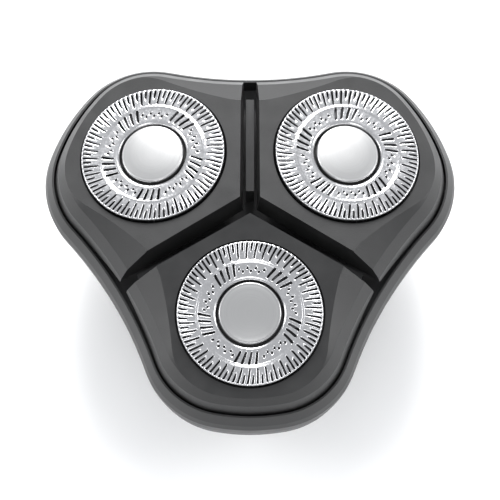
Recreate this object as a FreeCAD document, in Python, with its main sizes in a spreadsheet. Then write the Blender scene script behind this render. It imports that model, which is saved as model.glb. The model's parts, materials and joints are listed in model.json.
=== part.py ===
import FreeCAD, Part
import math
import os
import re
import Sketcher

# Head unit of a rotary shaver. Millimetres. +Z points from the coupling neck to the guards,
# and the origin is on the axis at the open face of the neck. One lobe points to -Y.

SIZES = [
    # plan of the three-lobed housing
    ("head_circle", 17.8),          # radius of the circle on which the guard centres lie
    ("guard_radius", 11.5),
    ("lobe_margin", 4.7),           # from the guard's edge to the outermost point of the skirt
    ("front_arc_radius", 31.0),
    ("front_arc_half_angle", 11.0),
    ("side_arc_radius", 14.0),
    ("waist_arc_radius", 66.0),
    # base with its neck
    ("neck_radius", 14.5),
    ("neck_bore_radius", 11.0),
    ("neck_depth", 6.5),
    ("neck_length", 8.0),
    ("floor_thickness", 2.9),
    ("base_wall", 1.5),
    ("base_inset", 2.9),            # base's side lies this far inside the skirt's widest outline
    ("bowl_inset", 9.0),            # outline of the bowl where it meets the neck
    ("bowl_height", 3.2),
    ("band_height", 4.6),
    ("lip_height", 1.2),
    # gear train
    ("plate_thickness", 1.2),
    ("drive_teeth", 12),
    ("head_teeth", 24),
    ("tooth_height", 1.45),
    ("gear_face", 2.5),
    ("spindle_circle", 17.0),       # radius of the circle on which the drive spindles stand
    ("bush_radius", 4.6),
    ("shaft_radius", 3.35),
    ("socket_across", 3.0),
    ("axle_radius", 1.0),
    ("tube_radius", 3.2),
    ("tube_length", 6.5),
    ("spindle_radius", 2.2),
    ("spindle_length", 10.7),
    ("running_gap", 0.05),
    ("free_gap", 0.3),
    # top unit
    ("skirt_low_height", 5.0),
    ("skirt_high_height", 2.8),
    ("skirt_inset", 1.45),          # inner wall of the skirt, inside its widest outline
    ("frame_drop", 2.2),            # underside of the inner frame below the widest outline
    ("frame_thickness", 1.5),
    ("bar_width", 1.3),
    ("bar_top", 4.2),               # top of the bars above the widest outline
    ("bar_inner_end", 4.6),
    ("bar_outer_end", 20.2),
    # heads
    ("head_tilt", 10.0),
    ("guard_top", 9.55),            # guard's face at its centre, above the widest outline
    ("guard_stand", 0.8),           # guard's face above the holder's land
    ("guard_height", 3.5),
    ("guard_thickness", 0.45),
    ("guard_slots", 45),
    ("cap_radius", 4.95),
    ("cap_rise", 0.35),
    ("holder_inset", 1.8),
    ("holder_depth", 6.3),
    ("gap_half_low", 1.0),
    ("gap_half_high", 1.5),
    ("cutter_radius", 10.6),
    ("blade_count", 15),
    ("float_travel", 1.0),
    ("tilt_pin_radius", 0.7),
    ("tilt_pin_height", 1.5),
    # hinge and button
    ("hinge_radius", 1.2),
    ("hinge_back", 25.6),
    ("hinge_drop", 7.0),
    ("hinge_pin_radius", 0.6),
    ("button_width", 7.0),
    ("button_travel", 1.2),
]

doc = FreeCAD.newDocument("shaving_head")
sheet = doc.addObject("Spreadsheet::Sheet", "Sizes")
for row, (alias, number) in enumerate(SIZES, 1):
    sheet.set("A%d" % row, alias)
    sheet.set("B%d" % row, str(number))
    sheet.setAlias("B%d" % row, alias)
doc.recompute()
ALIASES = {alias for alias, _ in SIZES}
V = FreeCAD.Vector
UP = V(0, 0, 1)
OVER = 1.0          # how far a cutting tool runs past what it cuts
PIECES = []


def size(alias):
    return float(sheet.get(alias))


def bound(text):
    """Turn the sizes' names in a formula into references to the sheet."""
    return re.sub(r"[a-z_]+", lambda m: "Sizes." + m[0] if m[0] in ALIASES else m[0], text)


# Levels and radii worked out from the sheet
tilt = math.radians(size("head_tilt"))
floor_top = size("neck_depth") + size("floor_thickness")
plate_top = floor_top + size("plate_thickness")
gear_low = plate_top + 0.8
band_low = size("neck_length") + size("bowl_height")
band_top = band_low + size("band_height")
skirt_low = band_top + 0.2
widest = skirt_low + size("skirt_low_height")
skirt_top = widest + size("skirt_high_height")
frame_low = widest - size("frame_drop")
frame_top = frame_low + size("frame_thickness")
module = 2 * size("spindle_circle") / (size("drive_teeth") + size("head_teeth"))
reach = size("head_circle") + size("guard_radius") + size("lobe_margin")
front_centre = reach - size("front_arc_radius")
tube_top = gear_low + size("tube_length")
spindle_low = gear_low + 3.7
LOBES = [-90, 30, 150]
WAISTS = [90, 210, 330]


def keep(piece, label):
    piece.Label = label
    PIECES.append(piece)
    return piece


def place(piece, x, y, z, turn=0.0, lean=0.0):
    """Lean about the piece's own Y axis, turn about Z, then move."""
    spin = FreeCAD.Rotation(UP, turn).multiply(FreeCAD.Rotation(V(0, 1, 0), lean))
    piece.Placement = FreeCAD.Placement(V(x, y, z), spin)


def around(angle, radius):
    return radius * math.cos(math.radians(angle)), radius * math.sin(math.radians(angle))


def solid_feature(label, shape):
    """A piece whose shape no single feature gives: built from Part's own functions."""
    piece = doc.addObject("Part::Feature", label)
    piece.Shape = shape.removeSplitter()
    return keep(piece, label)


# Sketch and body helpers

def plane(body, role):
    return next(item for item in body.Origin.OriginFeatures if item.Role == role)


def polygon(body, name, role, corners):
    """A closed sketch whose every corner is tied to the sheet by two formulas."""
    sketch = body.newObject("Sketcher::SketchObject", name)
    sketch.AttachmentSupport = [(plane(body, role), "")]
    sketch.MapMode = "FlatFace"
    count = len(corners)
    start = [V(*around(360.0 * i / count, 1.0), 0) for i in range(count)]
    for i in range(count):
        sketch.addGeometry(Part.LineSegment(start[i], start[(i + 1) % count]), False)
    for i in range(count):
        sketch.addConstraint(Sketcher.Constraint("Coincident", i, 2, (i + 1) % count, 1))
    for i, corner in enumerate(corners):
        for kind, text in zip(("DistanceX", "DistanceY"), corner):
            index = sketch.addConstraint(Sketcher.Constraint(kind, -1, 1, i, 1, 1.0))
            sketch.setExpression("Constraints[%d]" % index, bound(text))
    return sketch


def turned(label, *outlines):
    """A body turned about its own Z axis; the outlines are (radius, height) formulas."""
    body = keep(doc.addObject("PartDesign::Body", label), label)
    for number, corners in enumerate(outlines):
        name = "%s_outline_%d" % (label, number)
        sketch = polygon(body, name, "XZ_Plane", corners)
        turn = body.newObject("PartDesign::Revolution", "%s_turn_%d" % (label, number))
        turn.Profile = sketch
        turn.ReferenceAxis = (sketch, ["V_Axis"])
        turn.Angle = 360
    return body


def pad(body, name, corners, length, low="0", down=False):
    """A straight pad of a polygon in the body's XY plane, from a given height."""
    sketch = polygon(body, name + "_outline", "XY_Plane", corners)
    sketch.setExpression("AttachmentOffset.Base.z", bound(low))
    feature = body.newObject("PartDesign::Pocket" if down else "PartDesign::Pad", name)
    feature.Profile = sketch
    feature.setExpression("Length", bound(length))
    feature.Reversed = down
    return feature, sketch


def ring_of(body, name, feature, sketch, count):
    pattern = body.newObject("PartDesign::PolarPattern", name)
    pattern.Originals = [feature]
    pattern.Axis = (sketch, ["N_Axis"])
    pattern.Angle = 360
    pattern.setExpression("Occurrences", bound(count))
    body.Tip = pattern


# Outline of the three lobes, made of tangent arcs

def lobed_wire(inset, height):
    """The skirt's widest outline moved inwards by inset, as a wire at the given height."""
    front = size("front_arc_radius") - inset
    side = size("side_arc_radius") - inset
    waist = size("waist_arc_radius") + inset
    half = math.radians(size("front_arc_half_angle"))
    step = size("front_arc_radius") - size("side_arc_radius")
    side_x = front_centre + step * math.cos(half)
    side_y = step * math.sin(half)
    along = side_x * 0.5 + side_y * math.sqrt(0.75)
    far = size("waist_arc_radius") + size("side_arc_radius")
    waist_centre = along + math.sqrt(far**2 - side_x**2 - side_y**2 + along**2)
    waist_x, waist_y = around(60, waist_centre)
    joint = math.atan2(waist_y - side_y, waist_x - side_x)
    edges = []
    for lobe in LOBES:
        def point(cx, cy, radius, angle):
            x = cx + radius * math.cos(angle)
            y = cy + radius * math.sin(angle)
            turn = math.radians(lobe)
            return V(x * math.cos(turn) - y * math.sin(turn),
                     x * math.sin(turn) + y * math.cos(turn), height)
        a = point(front_centre, 0, front, -half)
        b = point(front_centre, 0, front, 0)
        c = point(front_centre, 0, front, half)
        d = point(side_x, side_y, side, (half + joint) / 2)
        e = point(side_x, side_y, side, joint)
        f = point(waist_x, waist_y, waist, math.radians(240))
        g = point(waist_x, waist_y, waist, 2 * math.radians(240) - joint - math.pi)
        last_x, last_y = side_x, -side_y
        h = point(last_x, last_y, side, -(half + joint) / 2)
        start = point(last_x, last_y, side, -joint)
        edges += [Part.Arc(start, h, a), Part.Arc(a, b, c), Part.Arc(c, d, e), Part.Arc(e, f, g)]
    return Part.Wire([edge.toShape() for edge in edges])


def lobed_prism(inset, low, high):
    return Part.Face(lobed_wire(inset, low)).extrude(V(0, 0, high - low))


def lobed_loft(stations):
    """A ruled solid through lobed outlines given as (inset, height)."""
    parts = [Part.makeLoft([lobed_wire(*low), lobed_wire(*high)], True, True)
             for low, high in zip(stations, stations[1:])]
    return parts[0] if len(parts) == 1 else parts[0].fuse(parts[1:])


def rod(radius, low, high, x=0.0, y=0.0):
    return Part.makeCylinder(radius, high - low, V(x, y, low))


def bar_along(angle, inner, outer, half, low, high):
    """A straight bar along a direction from the axis."""
    box = Part.makeBox(outer - inner, 2 * half, high - low, V(inner, -half, low))
    box.rotate(V(), UP, angle)
    return box


# Base shell: bowl, band with an inner lip, neck, hinge ears and the button's window

def base_shell():
    neck_top = size("neck_length")
    wall = size("base_wall")
    lip_inset = size("skirt_inset") + size("free_gap") + 0.05
    inner = size("base_inset") + wall
    outside = lobed_loft([(size("bowl_inset"), neck_top), (size("base_inset"), band_low),
                          (size("base_inset"), band_top)])
    lip = lobed_prism(lip_inset, band_top - 0.3, band_top + size("lip_height"))
    inside = lobed_loft([(size("bowl_inset") + wall, floor_top), (inner, band_low),
                         (inner, band_top + 2 * OVER)])
    shell = outside.fuse([lip, rod(size("neck_radius"), 0, neck_top + 0.5)]).cut(inside)
    cuts = [rod(size("neck_bore_radius"), -OVER, size("neck_depth")),
            rod(size("bush_radius"), 0, floor_top + OVER)]
    cuts += [rod(0.8, size("neck_depth") - 3.0, floor_top + OVER, *around(angle, screw_circle))
             for angle in WAISTS]
    half = size("button_width") / 2 + 0.2
    cuts += [bar_along(waist, wall_in - 0.4, wall_out + 2, half, button_low - 0.2,
                       button_top + 0.2) for waist in WAISTS[1:]]
    ribs = [bar_along(waist, rib_front - 0.8, rib_front, 2.5, floor_top + 0.2, band_top - 1.2)
            for waist in WAISTS[1:]]
    back = size("hinge_back")
    hinge_z = widest - size("hinge_drop")
    knuckles = [knuckle(x, 3.0, hinge_z, -1) for x in (-7.5, 4.5)]
    groove = Part.makeTorus(size("neck_radius"), 0.75, V(0, 0, groove_height))
    pin_hole = Part.makeCylinder(size("hinge_pin_radius"), 20, V(-10, back, hinge_z), V(1, 0, 0))
    return solid_feature("base_shell", shell.fuse(knuckles + ribs).cut(cuts + [groove, pin_hole]))


def knuckle(x, width, height, side):
    """A hinge knuckle with a web that runs forward to the shell it belongs to."""
    back = size("hinge_back")
    eye = Part.makeCylinder(size("hinge_radius"), width, V(x, back, height), V(1, 0, 0))
    waist_in = wall_out - 0.8
    tall = 2.0
    low = height - tall if side < 0 else height
    web = Part.makeBox(width, back - waist_in, tall, V(x, waist_in, low))
    return eye.fuse(web)


screw_circle = (size("neck_bore_radius") + size("neck_radius")) / 2
groove_height = size("neck_depth") / 2 + 1.5
button_low = band_low + 0.9
button_top = band_top - 1.2
button_middle = (button_low + button_top) / 2
wall_out = lobed_wire(size("base_inset"), 0).distToShape(Part.Vertex(0, 0, 0))[0]
wall_in = wall_out - size("base_wall")
flange_back = wall_in - 1.1
rib_front = flange_back - size("button_travel") - 1.1

base_shell()

# Seal ring in the neck's groove, and the snap ring round the neck below it
seal = keep(doc.addObject("Part::Torus", "seal_ring"), "seal_ring")
seal.setExpression("Radius1", bound("neck_radius"))
seal.Radius2 = 0.7
place(seal, 0, 0, groove_height)

coupling = turned("coupling_ring", [
    ("neck_radius", "0"), ("neck_radius + 0.5", "0"), ("neck_radius + 0.9", "0.6"),
    ("neck_radius + 0.9", "1.0"), ("neck_radius + 0.5", "1.6"), ("neck_radius", "1.6")])
place(coupling, 0, 0, 1.2)


def gear_plate():
    plate = lobed_prism(size("bowl_inset") + size("base_wall") + 0.4, floor_top, plate_top)
    holes = [rod(size("bush_radius"), 0, plate_top + OVER)]
    holes += [rod(0.85, 0, plate_top + OVER, *around(angle, screw_circle)) for angle in WAISTS]
    holes += [rod(size("axle_radius"), floor_top, plate_top + OVER,
                  *around(angle, size("spindle_circle"))) for angle in LOBES]
    return solid_feature("gear_plate", plate.cut(holes))


gear_plate()


def plate_screws():
    screws = []
    for angle in WAISTS:
        x, y = around(angle, screw_circle)
        head = rod(1.5, plate_top, plate_top + 0.9, x, y)
        recess = bar_along(0, -1.1, 1.1, 0.2, plate_top + 0.5, plate_top + 1.5)
        recess = recess.fuse(bar_along(90, -1.1, 1.1, 0.2, plate_top + 0.5, plate_top + 1.5))
        recess.translate(V(x, y, 0))
        shank = rod(0.8, size("neck_depth") - 2.5, plate_top + 0.1, x, y)
        screws.append(head.fuse(shank).cut(recess))
    piece = doc.addObject("Part::Feature", "plate_screws")
    piece.Shape = Part.makeCompound(screws)
    return keep(piece, "plate_screws")


plate_screws()

bush = turned("drive_bush", [
    ("shaft_radius + running_gap", "0"), ("bush_radius", "0"),
    ("bush_radius", "floor_thickness + plate_thickness"),
    ("bush_radius + 1", "floor_thickness + plate_thickness"),
    ("bush_radius + 1", "floor_thickness + plate_thickness + 0.5"),
    ("shaft_radius + running_gap", "floor_thickness + plate_thickness + 0.5")])
place(bush, 0, 0, size("neck_depth"))

# Gears: a turned blank with straight-flanked teeth
PITCH = "spindle_circle / (drive_teeth + head_teeth)"       # half of the gears' module


def teeth(body, count, low):
    """A ring of tapered teeth round a blank, with thin tips so that they never bind."""
    middle = "(%s * %s)" % (PITCH, count)
    root = middle + " - tooth_height * 0.55"
    tip = middle + " + tooth_height * 0.45"
    corners = [(root + " - 0.3", "-%s * 1.55" % PITCH), (tip, "-%s * 0.7" % PITCH),
               (tip, "%s * 0.7" % PITCH), (root + " - 0.3", "%s * 1.55" % PITCH)]
    feature, sketch = pad(body, body.Label + "_tooth", corners, "gear_face", low)
    ring_of(body, body.Label + "_teeth", feature, sketch, count)


root = "(%s * drive_teeth - tooth_height * 0.55)" % PITCH
shaft_rise = "(floor_thickness + plate_thickness + 0.7)"
drive = turned("drive_gear", [
    ("0", "0"), ("shaft_radius", "0"), ("shaft_radius", shaft_rise), (root, shaft_rise),
    (root, shaft_rise + " + gear_face"), ("shaft_radius", shaft_rise + " + gear_face"),
    ("shaft_radius - 0.4", shaft_rise + " + gear_face + 0.5"),
    ("0", shaft_rise + " + gear_face + 0.5")])
teeth(drive, "drive_teeth", shaft_rise)
half = "socket_across / 2"
pad(drive, "drive_socket", [("-" + half, "-" + half), (half, "-" + half),
                            (half, half), ("-" + half, half)], "4.5", "4.5", True)
place(drive, 0, 0, size("neck_depth") + 0.1)

HEAD_ROOT = "(%s * head_teeth - tooth_height * 0.55)" % PITCH
for number, lobe in enumerate(LOBES, 1):
    x, y = around(lobe, size("spindle_circle"))
    axle = turned("gear_axle_%d" % number, [
        ("0", "0"), ("axle_radius", "0"), ("axle_radius", "plate_thickness + 5.4"),
        ("axle_radius - 0.3", "plate_thickness + 5.7"), ("0", "plate_thickness + 5.7")])
    place(axle, x, y, floor_top)
    gear = turned("head_gear_%d" % number, [
        ("axle_radius + running_gap", "0"), (HEAD_ROOT, "0"), (HEAD_ROOT, "gear_face"),
        (HEAD_ROOT + " - 1.2", "gear_face"), (HEAD_ROOT + " - 1.8", "1.0"),
        ("tube_radius + 1", "1.0"), ("tube_radius", "gear_face"), ("tube_radius", "tube_length"),
        ("spindle_radius + running_gap", "tube_length"), ("spindle_radius + running_gap", "0.6"),
        ("axle_radius + running_gap", "0.6")])
    teeth(gear, "head_teeth", "0")
    place(gear, x, y, gear_low, lobe + 180.0 / size("head_teeth"))
    spindle = turned("drive_spindle_%d" % number, [
        ("0", "2.6"), ("axle_radius + 0.15", "2.6"), ("axle_radius + 0.15", "0"),
        ("spindle_radius", "0"), ("spindle_radius", "spindle_length - 3.4"),
        ("1.35", "spindle_length - 2.6"), ("1.35", "spindle_length - 1"),
        ("0.9", "spindle_length"), ("0", "spindle_length")])
    place(spindle, x, y, spindle_low)


def spring_shape(radius, wire, turns, tall):
    """Coils of round wire, evenly spaced and tied together by one upright stretch of wire."""
    step = (tall - 2 * wire) / turns
    rings = [Part.makeTorus(radius, wire, V(0, 0, wire + step * i)) for i in range(turns + 1)]
    link = rod(wire * 0.8, wire, tall - wire, radius)
    return link.fuse(rings)


def coil(label, radius, wire, turns, low, high, x, y):
    """A compression spring standing on its seat."""
    piece = solid_feature(label, spring_shape(radius, wire, turns, high - low))
    place(piece, x, y, low)


for number, lobe in enumerate(LOBES, 1):
    middle = (size("axle_radius") + size("spindle_radius")) / 2 + 0.02
    coil("spindle_spring_%d" % number, middle, 0.2, 4, gear_low + 0.62, spindle_low - 0.02,
         *around(lobe, size("spindle_circle")))


# Top unit: skirt, inner frame with the bars, hinge pin and button

def skirt():
    inner = size("skirt_inset")
    outside = lobed_loft([(0.9, skirt_low), (0.25, widest - 2.0), (0, widest),
                          (0.3, widest + 1.1), (inner - 0.3, skirt_top)])
    shell = outside.cut(lobed_prism(inner, skirt_low - OVER, skirt_top + OVER))
    hinge_z = widest - size("hinge_drop")
    tongue = Part.makeCylinder(size("hinge_radius"), 8.4, V(-4.2, size("hinge_back"), hinge_z),
                               V(1, 0, 0))
    web_low = skirt_low + 0.2
    web = Part.makeBox(8.4, 2.8, 0.9, V(-4.2, size("hinge_back") - 2.2, web_low))
    riser = Part.makeBox(8.4, 1.2, web_low + 0.9 - hinge_z,
                         V(-4.2, size("hinge_back") - 0.6, hinge_z))
    web = web.cut(lobed_prism(inner, skirt_low - OVER, skirt_top + OVER))
    hole = Part.makeCylinder(size("hinge_pin_radius") + size("running_gap"), 20,
                             V(-10, size("hinge_back"), hinge_z), V(1, 0, 0))
    return solid_feature("skirt", shell.fuse([tongue, web, riser]).cut(hole))


skirt()

ear_inner = 10.9
ear_outer = 12.5
lug_inner = 12.8
lug_outer = 14.4


def spider_frame():
    plate = lobed_prism(size("skirt_inset"), frame_low, frame_top)
    opening = size("guard_radius") - 3.0
    cuts = [rod(opening, frame_low - OVER, frame_top + OVER, *around(lobe, size("spindle_circle")))
            for lobe in LOBES]
    bars = [bar_along(angle, size("bar_inner_end"), size("bar_outer_end"), size("bar_width") / 2,
                      frame_top - 0.2, widest + size("bar_top")) for angle in WAISTS]
    lugs = []
    holes = []
    pin_z = widest + size("tilt_pin_height")
    for lobe in LOBES:
        for side in (-1, 1):
            y = lug_inner if side > 0 else -lug_outer
            lug = Part.makeBox(2.6, lug_outer - lug_inner, pin_z + 1.3 - frame_top + 0.2,
                               V(size("spindle_circle") - 1.3, y, frame_top - 0.2))
            hole = Part.makeCylinder(size("tilt_pin_radius"), lug_outer - lug_inner + 2,
                                     V(size("spindle_circle"), y - 1, pin_z), V(0, 1, 0))
            for shape, group in ((lug, lugs), (hole, holes)):
                shape.rotate(V(), UP, lobe)
                group.append(shape)
    return solid_feature("spider_frame", plate.cut(cuts).fuse(bars + lugs).cut(holes))


spider_frame()

pin = keep(doc.addObject("Part::Cylinder", "hinge_pin"), "hinge_pin")
pin.setExpression("Radius", bound("hinge_pin_radius"))
pin.Height = 15
pin.Placement = FreeCAD.Placement(V(-7.5, size("hinge_back"), widest - size("hinge_drop")),
                                  FreeCAD.Rotation(V(0, 1, 0), 90))


def release_button(label, waist):
    """A push button in a waist's window, with a flange behind the wall and a pip for its spring."""
    wide = size("button_width")
    stroke_in = -size("free_gap")
    cap = Part.makeBox(wall_out + 0.6 - wall_in - stroke_in, wide, button_top - button_low,
                       V(wall_in + stroke_in, -wide / 2, button_low))
    cap = cap.makeFillet(0.5, [edge for edge in cap.Edges
                               if edge.BoundBox.XMin > wall_out + 0.5])
    flange = Part.makeBox(0.9, wide + 2, button_top - button_low + 1.0,
                          V(flange_back, -wide / 2 - 1, button_low - 0.5))
    pip = Part.makeCylinder(0.6, 0.7, V(flange_back - 0.6, 0, button_middle), V(1, 0, 0))
    place(solid_feature(label, cap.fuse([flange, pip])), 0, 0, 0, waist)


def button_spring(label, waist):
    """A small coil between the button's flange and the rib of the base behind it."""
    spring = spring_shape(0.85, 0.15, 3, flange_back - rib_front - 0.04)
    spring.rotate(V(), V(0, 1, 0), 90)
    spring.translate(V(rib_front + 0.02, 0, button_middle))
    place(solid_feature(label, spring), 0, 0, 0, waist)


for number, waist in enumerate(WAISTS[1:], 1):
    release_button("release_button_%d" % number, waist)
    button_spring("button_spring_%d" % number, waist)


# Heads. Each is made upright in its own frame with its guard's face at height 0 and +X outwards,
# then leaned outwards and set on its lobe.

def set_on_lobe(piece, lobe):
    x, y = around(lobe, size("head_circle"))
    place(piece, x, y, widest + size("guard_top"), lobe, size("head_tilt"))


def leaned(shape):
    """From a head's own frame to a frame whose Z is the unit's axis, with the lobe along +X."""
    shape.rotate(V(), V(0, 1, 0), size("head_tilt"))
    shape.translate(V(size("head_circle"), 0, widest + size("guard_top")))
    return shape


def holder_shape():
    inset = size("holder_inset")
    bottom = widest - 1.5
    body = lobed_loft([(inset, bottom), (inset, skirt_top + 0.1), (inset + 0.5, widest + 5.0),
                       (inset + 1.8, widest + 7.2), (inset + 5.35, widest + 9.8),
                       (inset + 7.6, widest + 13.0)])
    sector = Part.Face(Part.makePolygon([V(), V(*around(-60, 60), 0), V(60, 0, 0),
                                         V(*around(60, 60), 0), V()])).extrude(V(0, 0, 60))
    body = body.common(sector.rotated(V(), UP, LOBES[0])).rotated(V(), UP, -LOBES[0])
    cuts = []
    for side in (-60, 60):
        wide, narrow = size("gap_half_high"), size("gap_half_low")
        middle, top = widest + size("bar_top") + 0.4, widest + 10.5
        slope = (wide - narrow) / (top - middle)
        crest = narrow + slope * (widest + 14 - middle)
        section = [V(-1, -narrow, bottom - 1), V(-1, narrow, bottom - 1), V(-1, narrow, middle),
                   V(-1, crest, widest + 14), V(-1, -crest, widest + 14), V(-1, -narrow, middle)]
        wedge = Part.Face(Part.makePolygon(section + section[:1])).extrude(V(40, 0, 0))
        cuts.append(wedge.rotated(V(), UP, side))
    land = Part.makeBox(80, 80, 12, V(-40, -40, -size("guard_stand")))
    below = Part.makeBox(80, 80, 20, V(-40, -40, -size("holder_depth") - 20))
    bore = Part.makeCylinder(size("guard_radius") + size("free_gap"), 20, V(0, 0, -15))
    seat = Part.makeCylinder(flange_radius + size("free_gap"), 20, V(0, 0, ledge - 20))
    cuts += [leaned(shape) for shape in (land, below, bore, seat)]
    body = body.cut(cuts)
    pin_z = widest + size("tilt_pin_height")
    centre = size("spindle_circle")
    for low in (ear_inner, -ear_outer):
        eye = Part.makeCylinder(1.6, ear_outer - ear_inner, V(centre, low, pin_z), V(0, 1, 0))
        neck = Part.makeBox(3.2, ear_outer - ear_inner, 2.4, V(centre - 1.6, low, pin_z))
        hole = Part.makeCylinder(size("tilt_pin_radius") + size("running_gap"), 4,
                                 V(centre, low - 1, pin_z), V(0, 1, 0))
        body = body.fuse(eye.fuse(neck)).cut(hole)
    ring_room = Part.makeCylinder(flange_radius + size("free_gap"), 3, V(0, 0, -6.0))
    return body.cut(leaned(ring_room))


flange_radius = size("guard_radius") + 0.8
ledge = -2.6
holder = holder_shape()


def tilt_pin_shape():
    pins = [Part.makeCylinder(size("tilt_pin_radius"), lug_outer - ear_inner,
                              V(size("spindle_circle"), low, widest + size("tilt_pin_height")),
                              V(0, 1, 0)) for low in (ear_inner, -lug_outer)]
    return Part.makeCompound(pins)


for number, lobe in enumerate(LOBES, 1):
    piece = solid_feature("head_holder_%d" % number, holder)
    place(piece, 0, 0, 0, lobe)
    piece = doc.addObject("Part::Feature", "tilt_pins_%d" % number)
    piece.Shape = tilt_pin_shape()
    keep(piece, "tilt_pins_%d" % number)
    place(piece, 0, 0, 0, lobe)
    spring_x = 7.0
    under = widest + size("guard_top") + (size("head_circle") - spring_x) * math.tan(tilt)
    under -= size("holder_depth") / math.cos(tilt) + 0.5
    coil("tilt_spring_%d" % number, 1.5, 0.25, 4, frame_top + 0.02, under, *around(lobe, spring_x))

    guard = turned("guard_%d" % number, [
        ("0", "-1.65"), ("guard_radius / 2", "-1.65"), ("guard_radius / 2", "-guard_thickness"),
        ("guard_radius - 0.5", "-guard_thickness"), ("guard_radius - 0.5", "-guard_height"),
        ("guard_radius + 0.8", "-guard_height"), ("guard_radius + 0.8", "-guard_height + 0.5"),
        ("guard_radius", "-guard_height + 0.5"), ("guard_radius", "-0.15"),
        ("guard_radius - 0.15", "0"), ("cap_radius + 0.65", "0"), ("cap_radius + 0.25", "-0.4"),
        ("cap_radius + 0.25", "-1.2"), ("0", "-1.2")])
    slot = [("guard_radius * 0.76", "-0.13"), ("guard_radius + 0.3", "-0.13"),
            ("guard_radius + 0.3", "0.13"), ("guard_radius * 0.76", "0.13")]
    feature, sketch = pad(guard, "slot_%d" % number, slot, "1.1", "0.2", True)
    feature.Reversed = False
    ring_of(guard, "slots_%d" % number, feature, sketch, "guard_slots")
    set_on_lobe(guard, lobe)

    cap = turned("guard_cap_%d" % number, [
        ("0", "-1.2"), ("cap_radius - 0.2", "-1.2"), ("cap_radius", "-1.0"), ("cap_radius", "-0.1"),
        ("cap_radius - 0.3", "0.1"), ("cap_radius * 0.6", "cap_rise - 0.1"), ("0", "cap_rise")])
    set_on_lobe(cap, lobe)

    cutter = turned("cutter_%d" % number, [
        ("0", "-3.4"), ("2.5", "-3.4"), ("2.5", "-5.5"), ("3.6", "-5.5"), ("3.6", "-3.3"),
        ("cutter_radius", "-3.3"), ("cutter_radius", "-2.6"), ("0", "-2.6")])
    blade = [("guard_radius / 2 + 0.4", "-0.25"), ("cutter_radius - 0.1", "0.75"),
             ("cutter_radius - 0.1", "1.25"), ("guard_radius / 2 + 0.4", "0.25")]
    feature, sketch = pad(cutter, "blade_%d" % number, blade, "2.7 - guard_thickness - 0.1", "-2.7")
    ring_of(cutter, "blades_%d" % number, feature, sketch, "blade_count")
    set_on_lobe(cutter, lobe)

    retainer = turned("retaining_frame_%d" % number, [
        ("guard_radius - 2.2", "-6.0"), ("guard_radius + 0.8 + free_gap", "-6.0"),
        ("guard_radius + 0.8 + free_gap", "-guard_height - float_travel - 0.3"),
        ("guard_radius - 1.2", "-guard_height - float_travel - 0.3")])
    set_on_lobe(retainer, lobe)

doc.recompute()

# Check every object and every piece, then write the pieces
for item in doc.Objects:
    if "Invalid" in item.State or "Error" in item.State:
        raise RuntimeError("%s failed: %s" % (item.Label, item.State))
for piece in PIECES:
    if piece.Shape.isNull() or not piece.Shape.isValid() or piece.Shape.Volume <= 0:
        raise RuntimeError("%s has a bad shape" % piece.Label)
os.makedirs("parts", exist_ok=True)
for piece in PIECES:
    piece.Shape.exportStep("parts/%s.step" % piece.Label)
    box = piece.Shape.BoundBox
    print("%-20s solids %d volume %9.3f  z %.2f..%.2f" % (
        piece.Label, len(piece.Shape.Solids), piece.Shape.Volume, box.ZMin, box.ZMax))
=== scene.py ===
# %% [markdown]
# # The head unit of a rotary shaver
# The construction model is already packed as a fixed frame of parts. This lesson loads it, sets
# the camera, and then gives each part its finish. The pressed steel guards and their caps carry
# detail too fine for the construction model, so they are modelled here and stand in for their
# plain parts.

# %% Load the frame
import json
import math

import bmesh
import bpy
from mathutils import Matrix, Vector


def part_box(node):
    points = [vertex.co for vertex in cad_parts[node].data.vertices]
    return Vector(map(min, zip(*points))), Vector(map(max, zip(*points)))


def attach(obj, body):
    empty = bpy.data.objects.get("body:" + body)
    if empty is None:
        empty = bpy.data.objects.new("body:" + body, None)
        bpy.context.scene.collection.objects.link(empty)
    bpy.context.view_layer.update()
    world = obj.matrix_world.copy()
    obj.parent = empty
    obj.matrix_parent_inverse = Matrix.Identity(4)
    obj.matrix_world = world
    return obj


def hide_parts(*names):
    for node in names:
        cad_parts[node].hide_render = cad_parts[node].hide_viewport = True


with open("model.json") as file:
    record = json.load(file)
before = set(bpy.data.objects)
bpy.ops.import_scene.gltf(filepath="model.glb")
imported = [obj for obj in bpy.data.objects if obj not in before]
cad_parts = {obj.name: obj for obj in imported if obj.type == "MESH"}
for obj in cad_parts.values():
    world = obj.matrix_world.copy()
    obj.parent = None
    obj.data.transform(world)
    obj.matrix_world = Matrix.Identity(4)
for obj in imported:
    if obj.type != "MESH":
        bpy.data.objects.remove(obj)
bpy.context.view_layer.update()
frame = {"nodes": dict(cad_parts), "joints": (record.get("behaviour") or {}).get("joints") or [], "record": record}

MM = 0.001

# %% [markdown]
# The viewer looks down on the guards, 20 degrees off the unit's own axis, from far away. A long
# lens keeps the three lobes almost the same size. The camera aims a little below the middle of
# the skirt.

# %% Camera
TILT = math.radians(20)
DISTANCE = 0.8
LENS = 361.8                    # millimetres, on a 36 mm sensor
RIM_RISE = 2.8 * MM             # the skirt's rim above its widest outline
AIM_DROP = 3.6 * MM             # the picture's centre below the middle of that outline
up = Vector((0, math.cos(TILT), math.sin(TILT)))
back = Vector((0, -math.sin(TILT), math.cos(TILT)))
skirt_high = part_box("skirt")[1]
middle = Vector((0, 0, skirt_high.z - RIM_RISE)) - up * AIM_DROP
lens = bpy.data.cameras.new("camera")
lens.lens = LENS
lens.clip_end = 10
camera = bpy.data.objects.new("camera", lens)
camera.location = middle + back * DISTANCE
camera.rotation_euler = (TILT, 0, 0)
bpy.context.collection.objects.link(camera)
bpy.context.scene.camera = camera
bpy.context.scene.view_settings.view_transform = "Standard"
print("camera at", tuple(camera.location))

# %% [markdown]
# A pale sheet under the unit and three soft boxes make plain studio light. The largest box hangs
# beyond the top of the view, so the shoulders of the upper heads catch it and the gaps stay dark.

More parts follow.
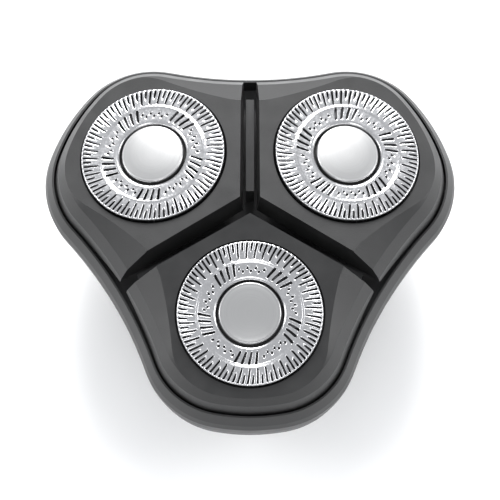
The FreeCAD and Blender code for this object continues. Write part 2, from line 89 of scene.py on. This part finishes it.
# %% Floor and light
def new_material(name):
    material = bpy.data.materials.new(name)
    material.use_nodes = True
    return material, material.node_tree.nodes, material.node_tree.links


def soft_box(name, place, width, power, aim=(0, 0, 0.02)):
    """A square soft box that faces the unit."""
    data = bpy.data.lights.new(name, "AREA")
    data.size = width
    data.energy = power
    box = bpy.data.objects.new(name, data)
    box.location = place
    box.rotation_euler = (Vector(place) - Vector(aim)).to_track_quat("Z", "Y").to_euler()
    bpy.context.collection.objects.link(box)


bm = bmesh.new()
bmesh.ops.create_grid(bm, x_segments=2, y_segments=2, size=1.5)
floor_mesh = bpy.data.meshes.new("floor")
bm.to_mesh(floor_mesh)
bm.free()
floor = bpy.data.objects.new("floor", floor_mesh)
bpy.context.collection.objects.link(floor)
material, nodes, links = new_material("pale_floor")
nodes["Principled BSDF"].inputs["Base Color"].default_value = (0.96, 0.96, 0.96, 1)
nodes["Principled BSDF"].inputs["Roughness"].default_value = 0.9
floor.data.materials.append(material)
soft_box("sky_box", (0.0, 0.85, 0.6), 0.5, 15.0)
soft_box("left_box", (-0.8, 0.1, 0.5), 0.4, 3.5)
soft_box("right_box", (0.8, 0.1, 0.5), 0.4, 3.5)
soft_box("floor_fill", (0.0, -0.6, 0.9), 0.4, 2.0)
world = bpy.data.worlds.new("studio")
bpy.context.scene.world = world
world.use_nodes = True
world.node_tree.nodes["Background"].inputs["Color"].default_value = (0.95, 0.97, 1.0, 1)
world.node_tree.nodes["Background"].inputs["Strength"].default_value = 0.78
print("lit")

# %% [markdown]
# Moulded plastic of this kind is spark-eroded in the mould, which leaves an even, very fine
# grain. Two noises make it: a fine one bumps the surface and a broad one varies the tone and the
# gloss. A picture of the grain could do the same, but a noise needs no unwrapping and has no
# seams.

# %% Moulded plastic
PATCHES = 260.0                 # scales of the noises, which read Object coordinates in metres
GRAIN = 5200.0
GRAIN_HEIGHT = 0.04 * MM
SCRATCHES = 2600.0
TURNING_RINGS = 9000.0
SCRATCH_DEPTH = 0.02 * MM


def mixed(nodes, links, factor, low, high, socket):
    """Send a colour between low and high, chosen by a factor, to a shader's socket."""
    mix = nodes.new("ShaderNodeMix")
    mix.data_type = "RGBA"
    links.new(factor, mix.inputs["Factor"])
    mix.inputs[6].default_value = (*low, 1)
    mix.inputs[7].default_value = (*high, 1)
    links.new(mix.outputs[2], socket)


def noise(nodes, links, scale, detail=3.0):
    place = nodes.new("ShaderNodeTexCoord")
    texture = nodes.new("ShaderNodeTexNoise")
    texture.inputs["Scale"].default_value = scale
    texture.inputs["Detail"].default_value = detail
    links.new(place.outputs["Object"], texture.inputs["Vector"])
    return texture.outputs["Fac"]


def spread(nodes, links, value, low, high):
    """Stretch a texture's middle values to the range low to high."""
    stretch = nodes.new("ShaderNodeMapRange")
    stretch.inputs["From Min"].default_value = 0.3
    stretch.inputs["From Max"].default_value = 0.7
    stretch.inputs["To Min"].default_value = low
    stretch.inputs["To Max"].default_value = high
    links.new(value, stretch.inputs["Value"])
    return stretch.outputs["Result"]


def bump(nodes, links, height, strength, distance):
    lift = nodes.new("ShaderNodeBump")
    lift.inputs["Strength"].default_value = strength
    lift.inputs["Distance"].default_value = distance
    links.new(height, lift.inputs["Height"])
    return lift


def plastic(name, tone, rough=0.5, grain=0.35):
    """Textured grey plastic; tone is its linear grey."""
    material, nodes, links = new_material(name)
    shader = nodes["Principled BSDF"]
    low, high = tone * 0.86, tone * 1.14
    patches = noise(nodes, links, PATCHES)
    mixed(nodes, links, spread(nodes, links, patches, 0, 1), (low, low, low * 1.02),
          (high, high, high * 1.02), shader.inputs["Base Color"])
    links.new(spread(nodes, links, patches, rough - 0.05, rough + 0.05),
              shader.inputs["Roughness"])
    lift = bump(nodes, links, noise(nodes, links, GRAIN, 2.0), grain, GRAIN_HEIGHT)
    links.new(lift.outputs["Normal"], shader.inputs["Normal"])
    shader.inputs["Specular IOR Level"].default_value = 0.45
    return material


FINISH = {
    "skirt_plastic": plastic("skirt_plastic", 0.020, 0.42),
    "holder_plastic": plastic("holder_plastic", 0.015, 0.40),
    "frame_plastic": plastic("frame_plastic", 0.045, 0.5),
    "base_plastic": plastic("base_plastic", 0.012, 0.55),
    "inner_plastic": plastic("inner_plastic", 0.055, 0.42, 0.15),
    "button_plastic": plastic("button_plastic", 0.085, 0.4, 0.2),
    "gear_plastic": plastic("gear_plastic", 0.62, 0.38, 0.1),
    "spindle_plastic": plastic("spindle_plastic", 0.42, 0.4, 0.1),
    "seal_rubber": plastic("seal_rubber", 0.018, 0.6, 0.2),
}
print(len(FINISH), "plastics")

# %% [markdown]
# The metals are ground, drawn or spun. Fine scratches in the roughness and a faint bump keep
# their highlights from looking like a mirror. Spun caps carry rings about their own axis, so that
# metal reads a radius that is stored on the mesh as an attribute when the cap is turned.

# %% Metals
def metal(name, tone, rough, scratch=0.12):
    material, nodes, links = new_material(name)
    shader = nodes["Principled BSDF"]
    shader.inputs["Metallic"].default_value = 1.0
    fine = noise(nodes, links, SCRATCHES)
    mixed(nodes, links, spread(nodes, links, fine, 0, 1), [t * 0.93 for t in tone], tone,
          shader.inputs["Base Color"])
    links.new(spread(nodes, links, fine, rough - 0.05, rough + 0.08), shader.inputs["Roughness"])
    lift = bump(nodes, links, fine, scratch, SCRATCH_DEPTH)
    links.new(lift.outputs["Normal"], shader.inputs["Normal"])
    return material


def spun_metal(name, tone, rough):
    """Metal with fine turning rings, drawn from the mesh's own radius attribute."""
    material, nodes, links = new_material(name)
    shader = nodes["Principled BSDF"]
    shader.inputs["Metallic"].default_value = 1.0
    radius = nodes.new("ShaderNodeAttribute")
    radius.attribute_name = "spin_radius"
    rings = nodes.new("ShaderNodeTexNoise")
    rings.noise_dimensions = "1D"
    rings.inputs["Scale"].default_value = TURNING_RINGS
    rings.inputs["Detail"].default_value = 4.0
    links.new(radius.outputs["Fac"], rings.inputs["W"])
    value = rings.outputs["Fac"]
    mixed(nodes, links, spread(nodes, links, value, 0, 1), [t * 0.9 for t in tone], tone,
          shader.inputs["Base Color"])
    links.new(spread(nodes, links, value, rough - 0.06, rough + 0.08), shader.inputs["Roughness"])
    lift = bump(nodes, links, value, 0.25, SCRATCH_DEPTH)
    links.new(lift.outputs["Normal"], shader.inputs["Normal"])
    return material


FINISH["guard_steel"] = metal("guard_steel", (0.56, 0.56, 0.57), 0.2)
# The cutters' steel is made near-black: painted shade for the cutters seen in shadow through the guard's slots.
FINISH["blade_steel"] = metal("blade_steel", (0.10, 0.10, 0.105), 0.4)
FINISH["pin_steel"] = metal("pin_steel", (0.6, 0.6, 0.62), 0.3)
FINISH["spring_steel"] = metal("spring_steel", (0.5, 0.5, 0.52), 0.35)
FINISH["bush_brass"] = metal("bush_brass", (0.75, 0.55, 0.26), 0.3)
FINISH["cap_metal"] = spun_metal("cap_metal", (0.46, 0.46, 0.46), 0.34)
print(len(FINISH), "finishes")

# %% [markdown]
# Every construction part keeps its own mesh and is given the finish of its slot.

# %% Finish the construction parts
slots = {part["node"]: part["material_slot"] for part in frame["record"]["subparts"]}
for node, part in frame["nodes"].items():
    part.data.materials.clear()
    part.data.materials.append(FINISH[slots[node]])
print(len(frame["nodes"]), "parts finished")

# %% [markdown]
# A guard is one thin pressing. Seen from above it is a ring of fine slots, a raised bead, an
# inner band with slanted slots and pinholes, and a dished lip round the cap. One way is to cut
# every slot with a boolean, which is slow and fragile. Here the section is spun into narrow
# columns instead, the faces of each opening are deleted, the bands are sheared to slant them, and
# the sheet is given its thickness and softened with one level of subdivision, which also rounds
# the pinholes.

# %% The guard's section
GUARD_RADIUS = 11.5 * MM
COLUMNS = 270
STEP = 2 * math.pi / COLUMNS
SHEET = 0.34 * MM
SIDE_WALL_TOP = -0.4 * MM       # openings run over the guard's edge down to here
SECTION = [  # share of the guard's radius, and height in millimetres
    (0.452, -1.15), (0.456, -0.45), (0.475, -0.12), (0.505, -0.02), (0.515, -0.02), (0.538, -0.02),
    (0.568, -0.02), (0.600, -0.02), (0.604, -0.02), (0.636, -0.02), (0.690, -0.02), (0.708, -0.02),
    (0.714, 0.07), (0.734, 0.07), (0.742, -0.02), (0.760, -0.02), (0.800, 0.0), (0.856, 0.0),
    (0.915, 0.0), (0.972, -0.01), (0.988, -0.05), (1.0, -0.22), (1.0, -0.6), (1.0, -2.6)]
# A face is opened when its centre is in one of these bands, which are shares of the radius.
SLOT_BAND = (0.760, 0.985)
SHORT_SLOTS = 0.856             # every second slot starts here
SLANTED_BAND = (0.538, 0.700)
HOLE_ROWS = ((0.604, 0.636), (0.568, 0.600))
# The inner band repeats five times round: slanted slots first, then pinholes in two rows.
GROUP = COLUMNS // 5
SLANTED_COLUMNS = 24
HOLES_START = 26
BEAD = 0.745                    # between the outer band and the inner one
OUTER_SLANT, OUTER_WIDTH = math.radians(2.0), 0.24
INNER_SLANT, INNER_WIDTH = math.radians(4.5), 0.2
INNER_EDGES = (0.5, 0.708)


def opening(column, share):
    """Whether the face in this column, at this share of the radius, belongs to an opening."""
    if SLOT_BAND[0] < share < SLOT_BAND[1]:
        long_slot = (column // 3) % 2 == 0
        return column % 3 == 1 and (long_slot or share > SHORT_SLOTS)
    group = column % GROUP
    if group < SLANTED_COLUMNS:
        return SLANTED_BAND[0] < share < SLANTED_BAND[1] and group % 6 in (1, 2)
    hole, across = divmod(group - HOLES_START, 4)
    inner, outer = HOLE_ROWS[hole % 2]
    return group >= HOLES_START and across < 2 and inner < share < outer


def slant(share):
    """How far a band is turned at a share of the radius, in radians."""
    if share > BEAD:
        return OUTER_SLANT * (1 - share) / OUTER_WIDTH
    low, high = INNER_EDGES
    return INNER_SLANT * (high - max(share, low)) / INNER_WIDTH


print(len(SECTION), "rings in the section")

# %% Spin, open and slant one guard
def finished(bm, name):
    mesh = bpy.data.meshes.new(name)
    bm.to_mesh(mesh)
    bm.free()
    piece = bpy.data.objects.new(name, mesh)
    bpy.context.collection.objects.link(piece)
    for face in mesh.polygons:
        face.use_smooth = True
    return piece


def spun(section, columns):
    """A surface turned about Z from a section of (radius, height), closed at the seam."""
    bm = bmesh.new()
    ring = [bm.verts.new((radius, 0, height)) for radius, height in section]
    edges = [bm.edges.new(pair) for pair in zip(ring, ring[1:])]
    bmesh.ops.spin(bm, geom=ring + edges, cent=(0, 0, 0), axis=(0, 0, 1), angle=2 * math.pi,
                   steps=columns, use_merge=True, use_duplicate=False)
    bmesh.ops.remove_doubles(bm, verts=bm.verts, dist=1e-7)
    bmesh.ops.recalc_face_normals(bm, faces=bm.faces)
    return bm


def guard_sheet():
    bm = spun([(share * GUARD_RADIUS, height * MM) for share, height in SECTION], COLUMNS)
    gone = []
    for face in bm.faces:
        centre = face.calc_center_median()
        column = int((math.atan2(centre.y, centre.x) % (2 * math.pi)) / STEP)
        share = math.hypot(centre.x, centre.y) / GUARD_RADIUS
        if centre.z > SIDE_WALL_TOP and opening(column, share):
            gone.append(face)
    bmesh.ops.delete(bm, geom=gone, context="FACES")
    for vert in bm.verts:       # shear the bands, which slants every opening in them
        share = vert.co.to_2d().length / GUARD_RADIUS
        vert.co.rotate(Matrix.Rotation(slant(min(share, 1.0)), 3, "Z"))
    upward = sum(face.normal.z * face.calc_area() for face in bm.faces)
    if upward < 0:
        bmesh.ops.reverse_faces(bm, faces=bm.faces)
    print(len(bm.faces), "faces in a guard's sheet,", len(gone), "opened")
    return bm


def apply_modifiers(piece):
    graph = bpy.context.evaluated_depsgraph_get()
    mesh = bpy.data.meshes.new_from_object(piece.evaluated_get(graph))
    piece.modifiers.clear()
    old = piece.data
    piece.data = mesh
    bpy.data.meshes.remove(old)


def head_place(number, phase):
    """From a head's own frame to the unit's: turned by phase, leaned, and set on its lobe."""
    spin = next(j for j in frame["joints"] if j["name"] == "cutter_%d_spin" % number)
    axis = Vector(spin["axis"]).normalized()
    side = Vector((0, 0, 1)).cross(axis).normalized()
    outwards = side.cross(axis)
    turn = Matrix((outwards, side, axis)).transposed().to_4x4()
    return Matrix.Translation(Vector(spin["pos_m"])) @ turn @ Matrix.Rotation(phase, 4, "Z")


# How far each guard is turned about its own axis
PHASES = {1: math.radians(124.0), 2: math.radians(-26.0), 3: math.radians(-116.0)}
for number, phase in PHASES.items():
    guard = finished(guard_sheet(), "pressed_guard_%d" % number)
    wall = guard.modifiers.new("thickness", "SOLIDIFY")
    wall.thickness = SHEET
    wall.offset = -1
    soft = guard.modifiers.new("soften", "SUBSURF")
    soft.levels = soft.render_levels = 1
    bpy.context.view_layer.update()
    apply_modifiers(guard)
    guard.data.transform(head_place(number, phase))
    guard.data.materials.append(FINISH["guard_steel"])
    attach(guard, "float_%d" % number)
    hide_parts("guard_%d" % number)
    print(guard.name, len(guard.data.polygons), "faces")

# %% [markdown]
# The cap is a spun disc, slightly domed, with a rolled rim and a shallow groove inside it. Under
# it lies a flat near-black disc a little wider than the cap, painted shade that makes the gap inside
# the guard's lip read as a thin black ring. The radius of every point is kept as an attribute for
# the turning rings before the cap is leaned into its place.

# %% Caps and the disc of painted shade round each
CAP_RADIUS = 4.93 * MM
DISC_COLUMNS = 128
CAP = [(0.0, 0.34), (0.18, 0.335), (0.40, 0.31), (0.62, 0.25), (0.80, 0.17), (0.905, 0.11),
       (0.93, 0.085), (0.95, 0.10), (0.975, 0.06), (0.995, -0.06), (1.0, -0.25), (1.0, -1.1)]
# A flat near-black disc under the cap, painted shade for the gap inside the guard's lip
SHADE_DISC = [(0.0, -1.18), (1.0, -1.18), (1.045, -1.18)]


def turned_disc(name, section, radius):
    """A round piece on the head's axis, with each point's radius kept as an attribute."""
    bm = spun([(share * radius, height * MM) for share, height in section], DISC_COLUMNS)
    piece = finished(bm, name)
    kept = piece.data.attributes.new("spin_radius", "FLOAT", "POINT")
    for index, vert in enumerate(piece.data.vertices):
        kept.data[index].value = vert.co.to_2d().length
    return piece


for number in PHASES:
    cap = turned_disc("spun_cap_%d" % number, CAP, CAP_RADIUS)
    cap.data.transform(head_place(number, 0.0))
    cap.data.materials.append(FINISH["cap_metal"])
    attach(cap, "float_%d" % number)
    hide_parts("guard_cap_%d" % number)
    # The near-black disc under the cap is painted shade for the gap round it
    shade_disc = turned_disc("cap_shade_disc_%d" % number, SHADE_DISC, CAP_RADIUS)
    shade_disc.data.transform(head_place(number, 0.0))
    shade_disc.data.materials.append(FINISH["seal_rubber"])
    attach(shade_disc, "float_%d" % number)
    print(cap.name, "and", shade_disc.name)
